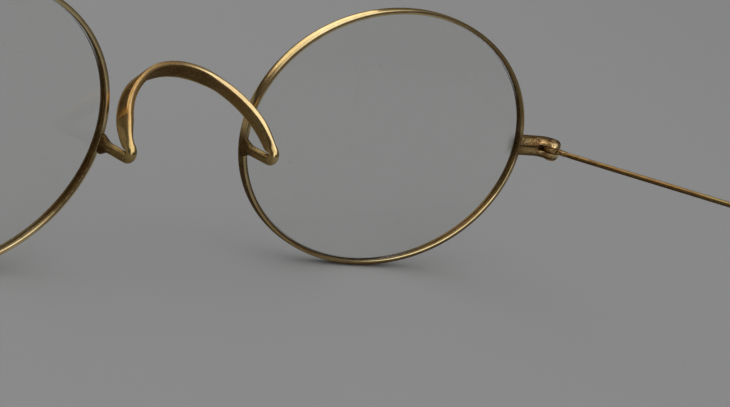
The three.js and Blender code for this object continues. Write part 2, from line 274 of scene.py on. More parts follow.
def slab(outline, bottom, top, bottom_round, top_round):
    """An upright slab of an anticlockwise outline, with its two rims rounded by (inwards, upwards)."""
    below = []
    above = []
    for step in range(SLAB_STEPS + 1):
        angle = math.pi / 2 * step / SLAB_STEPS
        inwards = 1 - math.cos(angle)
        from_end = 1 - math.sin(angle)
        below.append((bottom + bottom_round[1] * from_end, bottom_round[0] * inwards))
        above.append((top - top_round[1] * from_end, top_round[0] * inwards))
    bottom_cap = (bottom, CAP_INSET * bottom_round[0])
    top_cap = (top, CAP_INSET * top_round[0])
    rings = []
    for z, amount in [bottom_cap, *reversed(below), *above, top_cap]:
        rings.append([Vector((p.x, p.y, z)) for p in inset(outline, amount)])
    return skin(rings)


def turned(profile, centre, axis=UP):
    """A solid turned about an axis, from (radius, height) pairs, lowest first."""
    side = axis.orthogonal().normalized()
    other = axis.cross(side)
    rings = []
    for radius, height in profile:
        ring = []
        for i in range(TURN_STEPS):
            angle = 2 * math.pi * i / TURN_STEPS
            ring.append(centre + axis * height + (side * math.cos(angle) + other * math.sin(angle)) * radius)
        rings.append(ring)
    return skin(rings)


def box(low, high):
    corners = [(low.x, low.y), (high.x, low.y), (high.x, high.y), (low.x, high.y)]
    return skin([[Vector((x, y, z)) for x, y in corners] for z in (low.z, high.z)])


def cut(mesh, tools):
    """A mesh with other meshes cut out of it."""
    blank = bpy.data.objects.new("blank", mesh)
    bpy.context.collection.objects.link(blank)
    cutters = []
    for tool in tools:
        cutter = bpy.data.objects.new("cutter", tool)
        bpy.context.collection.objects.link(cutter)
        cutters.append(cutter)
        modifier = blank.modifiers.new("cut", "BOOLEAN")
        modifier.operation = "DIFFERENCE"
        modifier.solver = "EXACT"
        modifier.object = cutter
    bpy.context.view_layer.update()
    result = bpy.data.meshes.new_from_object(blank.evaluated_get(bpy.context.evaluated_depsgraph_get()))
    for scratch in [blank, *cutters]:
        bpy.data.objects.remove(scratch)
    return result


def mark(mesh, grain, grime_and_shade, wear):
    """Stores each point's place in the piece's grain, in millimetres, how dark dirt and painted shade make
    it, and how worn it is.
    """
    mesh.attributes.new("grain", "FLOAT_VECTOR", "POINT")
    mesh.attributes.new("grime_and_shade", "FLOAT", "POINT")
    mesh.attributes.new("wear", "FLOAT", "POINT")
    mesh.attributes["grain"].data.foreach_set("vector", [value for point in grain for value in point])
    mesh.attributes["grime_and_shade"].data.foreach_set("value", grime_and_shade)
    mesh.attributes["wear"].data.foreach_set("value", wear)


def mark_solid(mesh, dirt, rub=lambda point: 0):
    """Marks a solid by its own coordinates and by rules that give the dirt with painted shade, and the wear,
    at a point.
    """
    points = [vertex.co.copy() for vertex in mesh.vertices]
    mark(mesh, points, [dirt(point) for point in points], [rub(point) for point in points])


def middle_of(ring):
    return sum(ring, Vector()) / len(ring)


def mark_sweep(mesh, rings, dirt, rub=lambda point, along, place: 0):
    """Marks a swept wire with a grain that runs along it.

    The rules for dirt with painted shade, and for wear, take a point, its length along the wire and its place
    in the ring.
    """
    grain = []
    grime_and_shade = []
    wear = []
    along = 0
    last = middle_of(rings[0])
    for ring in rings:
        middle = middle_of(ring)
        along += (middle - last).length
        last = middle
        for place, point in enumerate(ring):
            off = point - middle
            grain.append(Vector((along, off.x + off.y, off.z)))
            grime_and_shade.append(dirt(point, along, place))
            wear.append(rub(point, along, place))
    mark(mesh, grain, grime_and_shade, wear)


def piece(name, mesh, matrix, body, material, sharp=SHARP_ANGLE):
    """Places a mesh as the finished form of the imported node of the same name."""
    mesh.transform(matrix)
    if matrix.determinant() < 0:
        mesh.flip_normals()
    mesh.polygons.foreach_set("use_smooth", [True] * len(mesh.polygons))
    mesh.set_sharp_from_angle(angle=sharp)
    mesh.materials.clear()
    mesh.materials.append(material)
    finished = bpy.data.objects.new(f"{name}_finished", mesh)
    bpy.context.scene.collection.objects.link(finished)
    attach(finished, body)
    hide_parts(name)
    return finished


def front_piece(side, part, mesh, material, sharp=SHARP_ANGLE):
    """A piece of one eye, shaped in the eye's frame."""
    return piece(f"{side}_{part}", mesh, placed(side, EYE_FRAME), "front", material, sharp)


def temple_piece(side, part, mesh, material):
    """A piece of one temple, shaped in the temple's frame."""
    return piece(f"{side}_{part}", mesh, placed(side, TEMPLE_FRAME), f"{side}_temple", material)


# Shader helpers

# Places of the sockets for colours in Blender's Mix node
MIX_FACTOR = 0
MIX_FIRST = 6
MIX_SECOND = 7
MIX_RESULT = 2


def feed(tree, socket, value):
    """Links an input to another node's output, or sets it where the value is a plain one."""
    if isinstance(value, bpy.types.NodeSocket):
        tree.links.new(value, socket)
    else:
        socket.default_value = value


def add(tree, kind, **inputs):
    """A shader node with its inputs fed. An input's name has underscores for spaces."""
    node = tree.nodes.new(kind)
    for name, value in inputs.items():
        feed(tree, node.inputs[name.replace("_", " ")], value)
    return node


def marked(tree, name, output):
    """What mark stored on the mesh under a name."""
    node = tree.nodes.new("ShaderNodeAttribute")
    node.attribute_name = name
    return node.outputs[output]


def noise(tree, vector, scale, detail=4, roughness=0.55):
    node = add(tree, "ShaderNodeTexNoise", Vector=vector, Scale=scale, Detail=detail, Roughness=roughness)
    return node.outputs[0]


def stretched(tree, vector, scale):
    node = add(tree, "ShaderNodeMapping", Vector=vector, Scale=scale)
    return node.outputs["Vector"]


def between(tree, value, low, high, to_low=0, to_high=1):
    """A value brought from one range to another, and held inside it."""
    node = add(
        tree, "ShaderNodeMapRange", Value=value, From_Min=low, From_Max=high, To_Min=to_low, To_Max=to_high
    )
    return node.outputs["Result"]


def opaque(colour):
    """A plain colour with full alpha. A socket stays as it is."""
    return (*colour, 1) if isinstance(colour, tuple) else colour


def blended(tree, factor, first, second):
    """One colour going over into another."""
    node = tree.nodes.new("ShaderNodeMix")
    node.data_type = "RGBA"
    feed(tree, node.inputs[MIX_FACTOR], factor)
    feed(tree, node.inputs[MIX_FIRST], opaque(first))
    feed(tree, node.inputs[MIX_SECOND], opaque(second))
    return node.outputs[MIX_RESULT]


def combined(tree, operation, first, second):
    """Two values combined and held between 0 and 1."""
    node = tree.nodes.new("ShaderNodeMath")
    node.operation = operation
    node.use_clamp = True
    feed(tree, node.inputs[0], first)
    feed(tree, node.inputs[1], second)
    return node.outputs[0]


def shaders_mixed(tree, factor, first, second):
    """Two shaders mixed, from the first one at 0 to the second one at 1."""
    node = add(tree, "ShaderNodeMixShader", Fac=factor)
    tree.links.new(first.outputs[0], node.inputs[1])
    tree.links.new(second.outputs[0], node.inputs[2])
    return node.outputs[0]


def new_material(name):
    material = bpy.data.materials.new(name)
    material.use_nodes = True
    material.node_tree.nodes.clear()
    return material, material.node_tree


# Materials

RUBBED_GOLD = (0.93, 0.76, 0.42)
PALE_GOLD = (0.58, 0.41, 0.16)
COPPER_GOLD = (0.54, 0.31, 0.11)
DEEP_GOLD = (0.82, 0.57, 0.24)
RED_BRASS = (0.72, 0.4, 0.15)
EDGE_TINT = (1, 0.82, 0.55)
TARNISH = (0.16, 0.085, 0.03)
# Dark coat of dirt, which also paints shade where the rules darken tops, undersides and hollows
GRIME_AND_SHADE = (0.04, 0.019, 0.005)
GRIME_AND_SHADE_ROUGHNESS = 0.5
GRIME_AND_SHADE_SHEEN = 0.02
CLEAR_GLASS = (0.925, 0.928, 0.917)
GLASS_SHADE = (0.93, 0.95, 0.93)
GLASS_IOR = 1.35
LENS_SPECK = (0.25, 0.23, 0.19)
LENS_GRIME = (0.22, 0.18, 0.11)
FLOOR_GREY = (0.238, 0.239, 0.237)
ROOM_WALL = (0.03, 0.03, 0.03)
ROOM_ABOVE = (0.3, 0.303, 0.306)

# Noise is finer across a wire than along it
STREAK_SCALE = (0.4, 7, 7)
WARMTH_SCALE = (0.3, 1.2, 1.2)

# Noise on a lens
FILM_PER_MM = 0.25
SPECKS_PER_MM = 3.2

Marks = namedtuple("Marks", "streaks patches warmth pits polish dirt")


def gold_marks(tree, patches_per_mm, pits_per_mm):
    """The noises of a gold surface, and its polish and its dirt with painted shade, broken up by patches and
    pits.
    """
    grain = marked(tree, "grain", "Vector")
    streaks = noise(tree, stretched(tree, grain, STREAK_SCALE), 1, detail=5, roughness=0.6)
    patches = noise(tree, grain, patches_per_mm, detail=5, roughness=0.62)
    warmth = noise(tree, stretched(tree, grain, WARMTH_SCALE), patches_per_mm, detail=3)
    pits = noise(tree, grain, pits_per_mm, detail=3, roughness=0.6)
    patchy = between(tree, patches, 0.35, 0.55, to_low=1, to_high=0.7)
    polish = combined(tree, "MULTIPLY", marked(tree, "wear", "Fac"), patchy)
    ragged = between(tree, pits, 0.25, 0.5, to_low=0.7, to_high=1)
    # Dirt and painted shade from the mesh's share, broken up by pits
    dirt = combined(tree, "MULTIPLY", marked(tree, "grime_and_shade", "Fac"), ragged)
    return Marks(streaks, patches, warmth, pits, polish, dirt)


def gold_tone(tree, marks, pale, warm, tarnish_start, speckle):
    """Warm and pale stretches, tarnish over them in patches, streaks and specks, and rubbed gold on top."""
    tone = blended(tree, between(tree, marks.warmth, 0.4, 0.6), pale, warm)
    patchy = between(tree, marks.patches, tarnish_start, tarnish_start + 0.2, to_high=0.8)
    streaky = between(tree, marks.streaks, 0.5, 0.75, to_high=0.6)
    specked = between(tree, marks.pits, 0.56, 0.66, to_high=speckle)
    for tarnished in (patchy, streaky, specked):
        tone = blended(tree, tarnished, tone, TARNISH)
    return blended(tree, marks.polish, tone, RUBBED_GOLD)


def gold_roughness(tree, marks, roughness):
    """Rougher in streaks, patches and under dirt and painted shade, and smoother where it is rubbed."""
    rough = between(tree, marks.streaks, 0.3, 0.7, to_low=roughness, to_high=roughness + 0.12)
    rough = combined(tree, "ADD", rough, between(tree, marks.patches, 0.4, 0.7, to_high=0.12))
    rough = combined(tree, "ADD", rough, combined(tree, "MULTIPLY", marks.dirt, 0.15))
    return combined(tree, "MULTIPLY", rough, between(tree, marks.polish, 0, 1, to_low=1, to_high=0.5))


def gold_relief(tree, marks, depth):
    """Streaks and pits so many millimetres deep, worn flat where the gold is rubbed."""
    streaky = combined(tree, "MULTIPLY", marks.streaks, 0.3)
    height = combined(tree, "ADD", streaky, between(tree, marks.pits, 0.3, 0.7, to_low=0.6, to_high=0))
    strength = between(tree, marks.polish, 0, 0.9, to_low=0.5, to_high=0.05)
    bump = add(tree, "ShaderNodeBump", Height=height, Distance=depth * MM, Strength=strength)
    return bump.outputs[0]


def worn_gold(name, pale, warm, patches_per_mm, tarnish_start, speckle, pits_per_mm, relief, roughness):
    """Worn gold-filled metal under a broken dark coat, which is dirt in places and painted shade in others.
    """
    material, tree = new_material(name)
    marks = gold_marks(tree, patches_per_mm, pits_per_mm)
    normal = gold_relief(tree, marks, relief)
    metal = add(
        tree,
        "ShaderNodeBsdfPrincipled",
        Base_Color=gold_tone(tree, marks, pale, warm, tarnish_start, speckle),
        Metallic=1,
        Roughness=gold_roughness(tree, marks, roughness),
        Specular_Tint=opaque(EDGE_TINT),
        Normal=normal,
    )
    # The dark coat: dirt, and painted shade
    coat = add(
        tree,
        "ShaderNodeBsdfPrincipled",
        Base_Color=opaque(GRIME_AND_SHADE),
        Roughness=GRIME_AND_SHADE_ROUGHNESS,
        Specular_IOR_Level=GRIME_AND_SHADE_SHEEN,
        Specular_Tint=opaque(EDGE_TINT),
        Normal=normal,
    )
    add(tree, "ShaderNodeOutputMaterial", Surface=shaders_mixed(tree, marks.dirt, metal, coat))
    return material


def lens_glass():
    """Clear glass with a faint film, a few specks of dust and the dirt about its edge, and a light shadow."""
    material, tree = new_material("lens_glass")
    grain = marked(tree, "grain", "Vector")
    film = noise(tree, grain, FILM_PER_MM, detail=3)
    specks = noise(tree, grain, SPECKS_PER_MM, detail=1)
    tone = blended(tree, between(tree, specks, 0.785, 0.8), CLEAR_GLASS, LENS_SPECK)
    tone = blended(tree, marked(tree, "grime_and_shade", "Fac"), tone, LENS_GRIME)
    glass = add(
        tree,
        "ShaderNodeBsdfPrincipled",
        Base_Color=tone,
        Roughness=between(tree, film, 0.5, 0.8, to_high=0.05),
        IOR=GLASS_IOR,
        Transmission_Weight=1,
    )
    shade = add(tree, "ShaderNodeBsdfTransparent", Color=opaque(GLASS_SHADE))
    in_shadow = tree.nodes.new("ShaderNodeLightPath").outputs["Is Shadow Ray"]
    add(tree, "ShaderNodeOutputMaterial", Surface=shaders_mixed(tree, in_shadow, glass, shade))
    return material


def floor_grey():
    material, tree = new_material("floor_grey")
    shader = add(tree, "ShaderNodeBsdfPrincipled", Base_Color=opaque(FLOOR_GREY), Roughness=0.9)
    add(tree, "ShaderNodeOutputMaterial", Surface=shader.outputs[0])
    return material


GOLD_WIRE = worn_gold(
    "gold_wire", PALE_GOLD, COPPER_GOLD,
    patches_per_mm=0.4, tarnish_start=0.55, speckle=0.35, pits_per_mm=5, relief=0.012, roughness=0.1,
)
GOLD_LUG = worn_gold(
    "gold_lug", DEEP_GOLD, RED_BRASS,
    patches_per_mm=1.1, tarnish_start=0.56, speckle=0.95, pits_per_mm=3, relief=0.35, roughness=0.07,
)
SCREW_BRASS = worn_gold(
    "screw_brass", DEEP_GOLD, RED_BRASS,
    patches_per_mm=0.8, tarnish_start=0.4, speckle=0.6, pits_per_mm=4, relief=0.03, roughness=0.25,
)
LENS_GLASS = lens_glass()


# Dirt, painted shade and wear on a rim, by a place in its section (x front to back, y outwards) and by a
# point of the oval

BACK_EDGE = (0.5, 0.57)
# Dirt and painted shade in the groove, a little lighter low on the outside
GROOVE_DIRT_AND_SHADE = 0.95
LOW_GROOVE_DIRT_AND_SHADE = 0.75
# Dirt on the flat sides, with painted shade: lighter at the top and darker at the bottom
SIDE_DIRT_AND_SHADE = 0.7
TOP_SIDE_DIRT_AND_SHADE = 0.45
BOTTOM_SIDE_DIRT_AND_SHADE = 1
# Painted shade on the back lip high on the outside
DULL_LIP_SHADE = 0.75
NOSE_DIRT = 0.94
JOINT_DIRT = 0.9
SHOULDER_CLEANED = 0.8

# Going outwards from the nose, the underside turns clean. The left one does so sooner, and turns bright.
CLEAN_FROM = {"left": (3, 8), "right": (10, 20)}
BRIGHT_BELOW = {"left": 1, "right": 0}


def on_back_lip(section):
    return smoothstep(section.x, *BACK_EDGE) * smoothstep(-section.y, 0.08, 0.15)


def on_back_shoulder(section):
    return smoothstep(section.x, *BACK_EDGE) * smoothstep(section.y, 0.02, 0.08)


def in_groove(section):
    return (1 - smoothstep(section.x, 0.47, 0.55)) * smoothstep(-section.y, 0, 0.1)


def on_flat_side(section):
    return smoothstep(abs(section.x), 0.52, 0.6) * smoothstep(section.y, -0.19, -0.1)


def high_outside(point):
    return smoothstep(point.x, 20, 28) * smoothstep(point.z, 0, 5)


def low_outside(point):
    return smoothstep(point.x, 24, 32) * smoothstep(-point.z, -2, 4)


def low_at_nose(side, point):
    return (1 - smoothstep(point.x, *CLEAN_FROM[side])) * smoothstep(-point.z, 0, 4)


def bright_below(side, point):
    return BRIGHT_BELOW[side] * smoothstep(point.x, *CLEAN_FROM[side]) * smoothstep(-point.z, 3, 8)


def rim_dirt_and_shade(side, section, point):
    """Dirt and painted shade in the groove, dirt on the flat sides with painted shade darker towards the
    bottom, painted shade on the back lip high outside, and dirt low at the nose and about the brazed joints.
    """
    # Dirt and painted shade in the groove
    groove = in_groove(section) * lerp(GROOVE_DIRT_AND_SHADE, LOW_GROOVE_DIRT_AND_SHADE, low_outside(point))
    # Dirt on the flat sides, with painted shade that makes them lighter at the top and darker towards the
    # bottom
    flat_side = lerp(SIDE_DIRT_AND_SHADE, TOP_SIDE_DIRT_AND_SHADE, smoothstep(point.z, 8, 13))
    flat_side = lerp(flat_side, BOTTOM_SIDE_DIRT_AND_SHADE, smoothstep(-point.z, 6, 12))
    flat_side *= on_flat_side(section) * (1 - bright_below(side, point))
    # Painted shade darkens the back lip high on the outside
    dull_lip = on_back_lip(section) * high_outside(point)
    nose = low_at_nose(side, point)
    from_bridge = Vector((point.x, point.z + LEG_DROP)).length
    from_lug = Vector((point.x - EYE_WIDTH, point.z - HINGE_RISE)).length
    joint = 1 - min(smoothstep(from_bridge, 0.6, 2.6), smoothstep(from_lug, 0.8, 3))
    worst = max(groove, flat_side, DULL_LIP_SHADE * dull_lip, NOSE_DIRT * nose, JOINT_DIRT * joint)
    cleaned = on_back_shoulder(section) * max(nose, high_outside(point))
    return worst * (1 - SHOULDER_CLEANED * cleaned)


def rim_rub(side, section, point):
    """Wear on the back lip, the crown and the back shoulder, and all over where the rim is bright."""
    # The back lip is rubbed less high on the outside, where painted shade darkens it
    lip = on_back_lip(section) * lerp(1, 0.3, high_outside(point))
    crown = smoothstep(section.y, 0.1, 0.24) * lerp(0.25, 0.85, smoothstep(point.x, 3.5, 7))
    shoulder = on_back_shoulder(section) * lerp(0.8, 0.2, smoothstep(-point.z, 6, 12))
    return max(lip, crown, shoulder, 0.8 * bright_below(side, point))


# Eyewire and lens, in an eye's frame

def oval_point(angle, outwards, y):
    """A place beside the rim's middle line, at an angle of the oval and so far outside it."""
    half_width = EYE_WIDTH / 2
    half_height = EYE_HEIGHT / 2
    normal = Vector((half_height * math.cos(angle), 0, half_width * math.sin(angle))).normalized()
    middle = Vector((half_width * (1 + math.cos(angle)), y, half_height * math.sin(angle)))
    return middle + normal * outwards


def rim_outline():
    """Section of the rim wire as (front to back, outwards): bulging outside, with a lens groove inside."""
    side = RIM_DEEP / 2
    edge = RIM_THICK / 2
    shoulder = edge - RIM_BULGE
    mouth = GROOVE_MOUTH / 2
    inside = rounded([
        (side, shoulder, RIM_SIDE_ROUND),
        (side, -edge, RIM_LIP_ROUND),
        (mouth, -edge, GROOVE_EDGE_ROUND),
        (0, GROOVE_DEPTH - edge, GROOVE_ROOT_ROUND),
        (-mouth, -edge, GROOVE_EDGE_ROUND),
        (-side, -edge, RIM_LIP_ROUND),
        (-side, shoulder, RIM_SIDE_ROUND),
    ])
    outside = []
    for step in range(1, BULGE_STEPS):
        angle = math.pi * step / BULGE_STEPS
        outside.append(Vector((-side * math.cos(angle), shoulder + RIM_BULGE * math.sin(angle))))
    return inside + outside


def eyewire(side):
    """Grooved wire round the lens, open by a hair between the two lugs."""
    half_gap = RIM_GAP / EYE_HEIGHT
    start = math.asin(2 * HINGE_RISE / EYE_HEIGHT)
    outline = rim_outline()
    rings = []
    for step in range(OVAL_STEPS + 1):
        angle = lerp(start + half_gap, start + 2 * math.pi - half_gap, step / OVAL_STEPS)
        rings.append([oval_point(angle, p.y, p.x) for p in outline])
    mesh = skin(rings)

    def dirt(point, along, place):
        return rim_dirt_and_shade(side, outline[place], point)

    def rub(point, along, place):
        return rim_rub(side, outline[place], point)

    mark_sweep(mesh, rings, dirt, rub)
    front_piece(side, "eyewire", mesh, GOLD_WIRE)


def lens_ring(margin, share, y):
    half_width = (EYE_WIDTH / 2 - margin) * share
    half_height = (EYE_HEIGHT / 2 - margin) * share
    ring = []
    for i in range(OVAL_STEPS):
        angle = 2 * math.pi * i / OVAL_STEPS
        ring.append(Vector((EYE_WIDTH / 2 + half_width * math.cos(angle), y, half_height * math.sin(angle))))
    return ring


LENS_DIRT_START = 0.988


def lens_dirt(point):
    """Dirt about the end piece and along the lower edge."""
    end_piece = Vector((EYE_WIDTH, 0, HINGE_RISE))
    at_end_piece = 1 - smoothstep((point - end_piece).length, 0.5, 1.7)
    across = (point.x - EYE_WIDTH / 2) / (EYE_WIDTH / 2 - LENS_FACE_MARGIN)
    up = point.z / (EYE_HEIGHT / 2 - LENS_FACE_MARGIN)
    at_edge = smoothstep(math.hypot(across, up), LENS_DIRT_START, 1)
    below = smoothstep(-point.z, -6, 2)
    return max(0.8 * at_end_piece, 0.75 * at_edge * below)


def lens(side):
    """Thin lens, domed on both faces, with a ridge round its edge in the rim's groove."""
    shares = [step / LENS_STEPS for step in range(1, LENS_STEPS)]
    back = []
    for share in [*shares, LENS_DIRT_START, 1]:
        back.append(lens_ring(LENS_FACE_MARGIN, share, LENS_EDGE / 2 + LENS_DOME * (1 - share * share)))
    front = [[Vector((p.x, -p.y, p.z)) for p in ring] for ring in reversed(back)]
    mesh = skin([*back, lens_ring(LENS_RIDGE_MARGIN, 1, 0), *front])
    mark_solid(mesh, lens_dirt)
    glass = front_piece(side, "lens", mesh, LENS_GLASS, LENS_SHARP_ANGLE)
    glass.visible_diffuse = False


# Bridge, in the front's frame

def leg_stations():
    """From inside the rim, through the fillet of braze, along the leg and round its tight bend."""
    radius = BRIDGE_WIRE / 2
    outwards = Vector((1, 0, 0))
    rim_back = RIM_DEEP / 2
    bend_start = rim_back + BRAZE_SEAM + LEG_LENGTH
    stations = []
    for step in range(LEG_STEPS):
        y = lerp(rim_back - LEG_IN_RIM, bend_start, step / LEG_STEPS)
        fillet = (1 - smoothstep(y, rim_back - BRAZE_IN_RIM, rim_back + BRAZE_LENGTH)) ** BRAZE_HOLLOW
        point = Vector((BRIDGE_HALF_WIDTH, y, -LEG_DROP))
        thick = lerp(BRIDGE_WIRE, BRAZE_THICK, fillet) / 2
        wide = lerp(radius, BRAZE_TALL, fillet)
        stations.append(Station(point, outwards, -UP, thick, wide, ROUND))
    for step in range(BEND_STEPS + 1):
        heading = (math.pi - ARCH_SLOPE) * step / BEND_STEPS
        across = Vector((0, math.sin(heading), -math.cos(heading)))
        centre = Vector((BRIDGE_HALF_WIDTH, bend_start, BEND_RADIUS - LEG_DROP))
        stations.append(Station(centre + across * BEND_RADIUS, outwards, across, radius, radius, ROUND))
    return stations


def arch_station(angle, foot, across):
    """The arch is half an oval, square to the ridge of the nose, and hammered flat from above its feet."""
    uphill = Vector((0, -math.cos(ARCH_SLOPE), math.sin(ARCH_SLOPE)))
    sideways = math.cos(angle)
    height = math.sin(angle)
    point = Vector((BRIDGE_HALF_WIDTH * sideways, foot.y, foot.z)) + uphill * ARCH_HEIGHT * height
    outwards = (Vector((ARCH_HEIGHT * sideways, 0, 0)) + uphill * BRIDGE_HALF_WIDTH * height).normalized()
    front_flatness = smoothstep(height, 0, FRONT_EDGE_FLAT)
    front_half = lerp(BRIDGE_WIRE, SADDLE_WIDE, front_flatness) / 2
    back_flatness = smoothstep(height, 0, BACK_EDGE_FLAT)
    back_half = lerp(BRIDGE_WIRE, SADDLE_WIDE, back_flatness) / 2
    point += across * (back_half - front_half) / 2
    thick = lerp(BRIDGE_WIRE, SADDLE_THICK, front_flatness) / 2
    wide = (front_half + back_half) / 2
    squareness = lerp(ROUND, HAMMERED, back_flatness)
    lean = lerp(FLANK_LEAN, CREST_LEAN, smoothstep(height, CREST_START, 1)) * back_flatness
    leaning_outwards = outwards * math.cos(lean) + across * math.sin(lean)
    leaning_across = across * math.cos(lean) - outwards * math.sin(lean)
    return Station(point, leaning_outwards, leaning_across, thick, wide, squareness)


def mirrored(station):
    flip = Matrix.Diagonal((-1, 1, 1))
    return station._replace(point=flip @ station.point, outwards=flip @ station.outwards)


def bridge_dirt_and_shade(point, from_rim, turn):
    """Dirt on the legs, dirt with painted shade on the side towards the nose, and painted shade on the crest.
    The turn is the angle in the section.
    """
    leg = lerp(0.95, 0.65, smoothstep(from_rim, 1, 3)) * (1 - smoothstep(from_rim, 4.2, 6))
    # The side towards the nose: dirt, darkened further as painted shade
    on_nose_side = smoothstep(-math.cos(turn), 0.2, 0.7) * smoothstep(math.sin(turn), -0.95, -0.2)
    nose_side = lerp(0.6, 0.84, smoothstep(point.x, -7.5, -3)) * on_nose_side
    # Painted shade over the crest
    crest = 0.62 * smoothstep(point.x, -2.5, 0.5) * (1 - smoothstep(point.x, 4, 7))
    left_flank = 0.15 * smoothstep(point.x, 4, 7) * smoothstep(math.cos(turn), 0.2, 0.5)
    on_arch = smoothstep(from_rim, 5, 7)
    return max(leg, on_arch * max(nose_side, crest, left_flank))


def bridge_rub(point, turn):
    """Wear on the two edges, more of it on the right."""
    on_edge = smoothstep(abs(math.sin(turn)), 0.75, 1)
    return lerp(0.68, 0.2, smoothstep(point.x, -4, 2)) * on_edge


def bridge():
    """One wire from rim to rim: two round legs, and an arch between them that is hammered flat."""
    left = leg_stations()
    foot = left[-1]
    arch = [arch_station(math.pi * i / ARCH_STEPS, foot.point, foot.across) for i in range(1, ARCH_STEPS)]
    stations = [*left, *arch, *(mirrored(station) for station in reversed(left))]
    length = sum((b.point - a.point).length for a, b in zip(stations, stations[1:]))
    rings = [station_ring(station) for station in stations]
    mesh = skin(rings)

    def dirt(point, along, place):
        return bridge_dirt_and_shade(point, min(along, length - along), 2 * math.pi * place / WIRE_SIDES)

    def rub(point, along, place):
        return bridge_rub(point, 2 * math.pi * place / WIRE_SIDES)

    mark_sweep(mesh, rings, dirt, rub)
    piece("saddle_bridge", mesh, placed("left", Matrix()), "front", GOLD_WIRE)


# End pieces, in an eye's frame

UPPER_TOP = HINGE.z + UPPER_LUG_TALL
LOWER_BOTTOM = HINGE.z - LOWER_LUG_TALL


def lug_outline():
    """End piece from above: a bar out of the rim that rounds back into the barrel about the screw."""
    half = LUG_DEEP / 2
    inner = EYE_WIDTH - RIM_THICK / 4
    outer = HINGE.x + BARREL_RADIUS
    corner = outer - LUG_CORNER
    points = [Vector((inner, -half)), Vector((lerp(inner, corner, 0.5), -half))]
    for step in range(TURN_STEPS // 4 + 1):
        share = 4 * step / TURN_STEPS
        start = Vector((corner, -half)).lerp(Vector((outer, -half)), share)
        end = Vector((outer, -half)).lerp(Vector((outer, HINGE.y)), share)
        points.append(start.lerp(end, share))
    rise = half + LUG_FILLET - HINGE.y
    run = math.sqrt((BARREL_RADIUS + LUG_FILLET) ** 2 - rise ** 2)
    last = math.pi - math.atan2(rise, run)
    for step in range(1, TURN_STEPS // 2 + 1):
        angle = last * 2 * step / TURN_STEPS
        points.append(HINGE.xy + Vector((math.cos(angle), math.sin(angle))) * BARREL_RADIUS)
    middle = HINGE.xy + Vector((-run, rise))
    for step in range(1, TURN_STEPS // 4 + 1):
        angle = lerp(last - math.pi, -math.pi / 2, 4 * step / TURN_STEPS)
        points.append(middle + Vector((math.cos(angle), math.sin(angle))) * LUG_FILLET)
    points.append(Vector((lerp(inner, middle.x, 0.5), half)))
    points.append(Vector((inner, half)))
    return points


def screw_hole(radius, bottom, top):
    return turned([(radius, bottom), (radius, top)], Vector((HINGE.x, HINGE.y, 0)))


def knuckle_slot():
    """The sawn slot that the temple's flat eye turns in, deeper than the eye needs."""
    half = KNUCKLE_TALL / 2 + KNUCKLE_PLAY
    low = Vector((HINGE.x - SLOT_REACH, HINGE.y - BARREL_RADIUS - KNUCKLE_PLAY, HINGE.z - half))
    high = Vector((HINGE.x + 2 * BARREL_RADIUS, HINGE.y + 2 * BARREL_RADIUS, HINGE.z + half))
    return box(low, high)


def lug_dirt_and_shade(point):
    """Dirt along the split and against the rim, and painted shade on the top, on the bottom and beside the
    barrel.
    """
    split = 0.8 * (1 - smoothstep(abs(point.z - HINGE.z), 0.06, 0.35))
    rim = 0.5 * (1 - smoothstep(point.x, EYE_WIDTH + RIM_THICK / 2, EYE_WIDTH + 0.6))
    # Painted shade: darker along the top, along the bottom and beside the barrel
    top = 0.95 * smoothstep(point.z, UPPER_TOP - 0.5, UPPER_TOP - 0.12)
    bottom = 0.9 * (1 - smoothstep(point.z, LOWER_BOTTOM + 0.2, LOWER_BOTTOM + 0.85))
    beside_barrel = 0.2 * (1 - smoothstep(abs(point.x - HINGE.x + BARREL_RADIUS), 0.2, 0.7))
    return max(split, rim, top, bottom, beside_barrel)


def lug_rub(point):
    """Wear, little on the bar and most on the barrel."""
    return lerp(0.22, 1, smoothstep(point.x, HINGE.x - 0.8, HINGE.x + 0.1))


def upper_lug(side):
    blank = slab(lug_outline(), HINGE.z + SPLIT / 2, UPPER_TOP, SPLIT_ROUND, LUG_ROUND)
    hole = screw_hole(SCREW_RADIUS + SCREW_PLAY, HINGE.z - CUT_OVER, UPPER_TOP + CUT_OVER)
    mesh = cut(blank, [knuckle_slot(), hole])
    mark_solid(mesh, lug_dirt_and_shade, lug_rub)
    front_piece(side, "upper_lug", mesh, GOLD_LUG)


def lower_lug(side):
    blank = slab(lug_outline(), LOWER_BOTTOM, HINGE.z - SPLIT / 2, LUG_ROUND, SPLIT_ROUND)
    hole = screw_hole(SCREW_RADIUS + SCREW_PLAY, LOWER_BOTTOM - CUT_OVER, HINGE.z + CUT_OVER)
    seat_top = LOWER_BOTTOM + SCREW_HEAD_TALL
    seat = screw_hole(SCREW_HEAD_RADIUS + SCREW_PLAY, LOWER_BOTTOM - CUT_OVER, seat_top)
    mesh = cut(blank, [knuckle_slot(), hole, seat])
    mark_solid(mesh, lug_dirt_and_shade, lug_rub)
    front_piece(side, "lower_lug", mesh, GOLD_LUG)


def screw_dirt(point):
    """Dirt in the slot."""
    return 0.6 * (1 - smoothstep(abs(point.y - HINGE.y), 0.08, 0.2))


